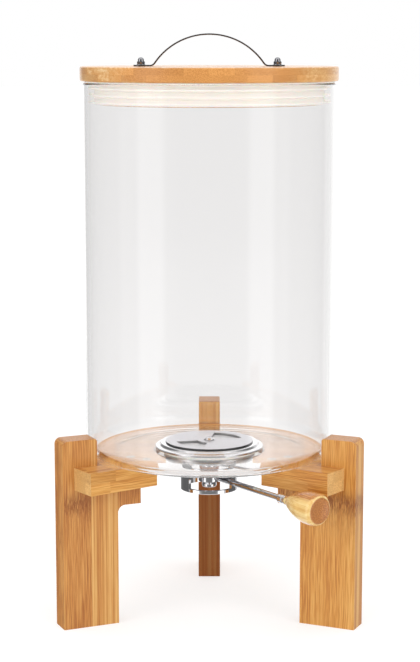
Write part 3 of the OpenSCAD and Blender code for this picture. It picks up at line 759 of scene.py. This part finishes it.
def strip_mesh(name, path, thickness):
    """A strip with eased edges, swept along a path in the XZ plane."""
    edge = 0.25
    bm = bmesh.new()
    rings = []
    for index, (x, z, half) in enumerate(path):
        before, after = path[max(index - 1, 0)], path[min(index + 1, len(path) - 1)]
        along = Vector((after[0] - before[0], after[1] - before[1])).normalized()
        up = Vector((-along.y, along.x))
        section = [(-half + edge, -1), (half - edge, -1), (half, -1 + 2 * edge / thickness),
                   (half, 1 - 2 * edge / thickness), (half - edge, 1), (-half + edge, 1),
                   (-half, 1 - 2 * edge / thickness), (-half, -1 + 2 * edge / thickness)]
        rings.append([bm.verts.new(((x + up.x * side * thickness / 2) * MM, y * MM,
                                    (z + up.y * side * thickness / 2) * MM)) for y, side in section])
    for low, high in zip(rings, rings[1:]):
        for i in range(len(low)):
            j = (i + 1) % len(low)
            bm.faces.new((low[i], low[j], high[j], high[i]))
    bm.faces.new(rings[0])
    bm.faces.new(rings[-1])
    bmesh.ops.recalc_face_normals(bm, faces=bm.faces)
    return smooth_mesh(name, bm, crease=50)


dark_steel = brushed("handle_steel", tint=(0.17, 0.17, 0.18, 1.0), stretch=(60, 1200, 60), roughness=0.2)
new_piece("lid_handle_strip", strip_mesh("lid_handle_strip", handle_path(), STRIP_T), dark_steel, "lid",
          "lid_handle", slot="steel")

nut_lo, nut_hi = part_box("handle_nuts")
NUT_FLATS, NUT_H, DOME_R, DOME_Z = 5.5, 2.4, 2.5, 3.1
nut_reach = (nut_hi.x - nut_lo.x) / 2 / MM - NUT_FLATS / 2 / math.cos(math.radians(30))
nut_z = nut_lo.z / MM


def hexagon(angle):
    """Distance from a nut's middle to its flats, with a corner at angle 0."""
    return NUT_FLATS / 2 / math.cos(angle % math.radians(60) - math.radians(30))


def acorn_nuts():
    """Two acorn nuts in one mesh: a chamfered hexagon and a dome."""
    corner_r = NUT_FLATS / 2 / math.cos(math.radians(30))
    outline = [(0, nut_z), (NUT_FLATS / 2 - 0.1, nut_z), (corner_r, nut_z + 0.35),
               (corner_r, nut_z + NUT_H - 0.45), (NUT_FLATS / 2, nut_z + NUT_H - 0.1),
               (DOME_R, nut_z + NUT_H)]
    outline += arc(0, nut_z + DOME_Z, DOME_R, 0, 90, 14)
    bm = bmesh.new()
    for side in (-1, 1):
        turn_into(bm, outline, closed=False, segments=96, limit=hexagon, centre=(side * nut_reach, 0))
    bmesh.ops.recalc_face_normals(bm, faces=bm.faces)
    return smooth_mesh("handle_nuts_acorn", bm, crease=28)


nut_chrome = chrome("nut_chrome", roughness=0.03, tint=(0.40, 0.40, 0.42, 1.0))
new_piece("handle_nuts_acorn", acorn_nuts(), nut_chrome, "lid", "handle_nuts", slot="steel")
for node, width in (("handle_washers", 0.12), ("handle_bolts", 0.25)):
    eased_copy(node + "_finished", node, satin, width=width, slot="steel")


# ---------------------------------------------------------------- floor and light

# the floor's own glow, and how much less of it shows through glass
FLOOR_GLOW, GLASS_LOSS = 0.62, 0.15


def floor():
    """A pale floor that looks like the backdrop but takes the soft shadows of the feet. Glass and metal
    do not mirror it: they show the studio's walls, which go on below it."""
    mesh = bpy.data.meshes.new("floor")
    bm = bmesh.new()
    bmesh.ops.create_grid(bm, x_segments=1, y_segments=1, size=20)
    bm.to_mesh(mesh)
    bm.free()
    g = Graph("floor")
    path = g.node("LightPath").outputs
    through_glass = path["Is Transmission Ray"]
    glow = g.math("SUBTRACT", FLOOR_GLOW, g.math("MULTIPLY", through_glass, GLASS_LOSS))
    seen = g.principled(base_color=(0.45, 0.45, 0.45, 1.0), roughness=0.9, specular_ior_level=0.0,
                        emission_color=(1.0, 1.0, 1.0, 1.0), emission_strength=glow)
    lit = g.node("BsdfDiffuse", {"Color": (0.90, 0.90, 0.90, 1.0)}).outputs[0]
    looked_at = g.math("MAXIMUM", path["Is Camera Ray"], through_glass)
    mesh.materials.append(g.finish(g.node("MixShader", {0: looked_at, 1: lit, 2: seen}).outputs[0]))
    made = bpy.data.objects.new("floor", mesh)
    bpy.context.scene.collection.objects.link(made)
    made.visible_glossy = False


LAMP_SIZE = 1.2


def soft_light(name, place, target, power):
    """A square soft lamp that glass, metal and camera do not show."""
    data = bpy.data.lights.new(name, "AREA")
    data.shape = "SQUARE"
    data.size = LAMP_SIZE
    data.energy = power
    lamp = bpy.data.objects.new(name, data)
    bpy.context.scene.collection.objects.link(lamp)
    lamp.location = place
    lamp.rotation_euler = (Vector(place) - Vector(target)).to_track_quat("Z", "Y").to_euler()
    lamp.visible_glossy = False
    lamp.visible_transmission = False
    lamp.visible_camera = False


# (azimuth from the camera's side, half width, brightness) of the softboxes
SOFTBOXES = ((-54, 13, 1.3), (48, 12, 1.3))
# (azimuth, half width) of the black flags that draw dark lines in chrome and down the jar's sides
FLAGS = ((-122, 34), (103, 26))
# lowest and highest direction of the softboxes and flags, as heights on a unit sphere
PANEL_LOW, PANEL_HIGH = -0.6, 0.75
# how soft their edges are: in degrees at the sides, and in height above and below
SOFT_SIDE, SOFT_END = 4, 0.06
# brightness of the room by azimuth: in front of the object, at its sides and behind it
FRONT, SIDES, BEHIND = 0.42, 0.62, 0.96
# azimuths between which the front turns into the sides, and the sides into the part behind
FRONT_EDGE, BEHIND_EDGE = (20, 75), (120, 165)
# how bright mirrors see the front and the part behind the object, and the azimuths where that fades out
MIRRORED_FRONT, MIRRORED_BEHIND = 0.5, 1.35
MIRRORED_FRONT_EDGE, MIRRORED_BEHIND_EDGE = (38, 24), (135, 155)
# what the flags leave of the room
FLAG_TONE = 0.22
# brightness of the ceiling, and the heights between which the walls turn into it
CEILING = 1.05
CEILING_EDGE = (0.45, 0.85)


def between(g, around, edge, low=0.0, high=1.0):
    """Goes softly from low to high between two azimuths in degrees."""
    return g.smooth(around, math.radians(edge[0]), math.radians(edge[1]), low, high)


def panel(g, azimuth, level, middle, half):
    """1 inside an upright panel with soft edges, and 0 outside it."""
    off = g.math("ABSOLUTE", g.math("SUBTRACT", azimuth, math.radians(middle)))
    side = g.smooth(off, math.radians(half + SOFT_SIDE), math.radians(half - SOFT_SIDE))
    upright = g.math("MULTIPLY", g.smooth(level, PANEL_LOW - SOFT_END, PANEL_LOW + SOFT_END),
                     g.smooth(level, PANEL_HIGH + SOFT_END, PANEL_HIGH - SOFT_END))
    return g.math("MULTIPLY", side, upright)


def room_walls(g, azimuth, mirrored):
    """Brightness of the room's walls: pale behind the object and greyer in front of it."""
    around = g.math("ABSOLUTE", azimuth)
    room = between(g, around, FRONT_EDGE, FRONT, SIDES)
    room = g.math("ADD", room, between(g, around, BEHIND_EDGE, 0.0, BEHIND - SIDES))
    ahead = g.math("MULTIPLY", between(g, around, MIRRORED_FRONT_EDGE), mirrored)
    room = g.math("MULTIPLY", room, g.math("SUBTRACT", 1.0, g.math("MULTIPLY", ahead, 1 - MIRRORED_FRONT)))
    back = g.math("MULTIPLY", between(g, around, MIRRORED_BEHIND_EDGE), mirrored)
    return g.math("MULTIPLY", room, g.math("ADD", 1.0, g.math("MULTIPLY", back, MIRRORED_BEHIND - 1)))


def world():
    """A white studio. The camera sees plain white; everything else sees softboxes in a pale grey room."""
    g = Graph(bpy.data.worlds.new("studio"))
    way = g.split(g.node("TexCoord").outputs["Generated"])
    azimuth = g.math("ARCTAN2", way[0], g.math("MULTIPLY", way[1], -1.0))
    path = g.node("LightPath").outputs
    mirrored = path["Is Glossy Ray"]
    room = room_walls(g, azimuth, mirrored)
    for middle, half in FLAGS:
        flag = g.math("MULTIPLY", panel(g, azimuth, way[2], middle, half), mirrored)
        dark = g.math("MULTIPLY", flag, 1 - FLAG_TONE)
        room = g.math("MULTIPLY", room, g.math("SUBTRACT", 1.0, dark))
    for middle, half, gain in SOFTBOXES:
        room = g.math("ADD", room, g.math("MULTIPLY", panel(g, azimuth, way[2], middle, half), gain))
    ceiling = g.smooth(way[2], *CEILING_EDGE)
    room = g.math("ADD", g.math("MULTIPLY", room, g.math("SUBTRACT", 1.0, ceiling)),
                  g.math("MULTIPLY", ceiling, CEILING))
    camera_ray = path["Is Camera Ray"]
    strength = g.math("ADD", g.math("MULTIPLY", room, g.math("SUBTRACT", 1.0, camera_ray)), camera_ray)
    background = g.node("Background", {"Color": (1.0, 1.0, 1.0, 1.0), "Strength": strength})
    bpy.context.scene.world = g.finish(background.outputs[0], "OutputWorld")


floor()
world()
soft_light("fill_left", (-1.5, -1.7, 1.2), (0, 0, 0.2), 9)
soft_light("fill_right", (1.5, -1.7, 1.2), (0, 0, 0.2), 9)
soft_light("fill_top", (0, -0.3, 2.2), (0, 0, 0.3), 6)

scene = bpy.context.scene
scene.view_settings.view_transform = "Standard"
scene.cycles.max_bounces = 24
scene.cycles.glossy_bounces = 12
scene.cycles.transmission_bounces = 20
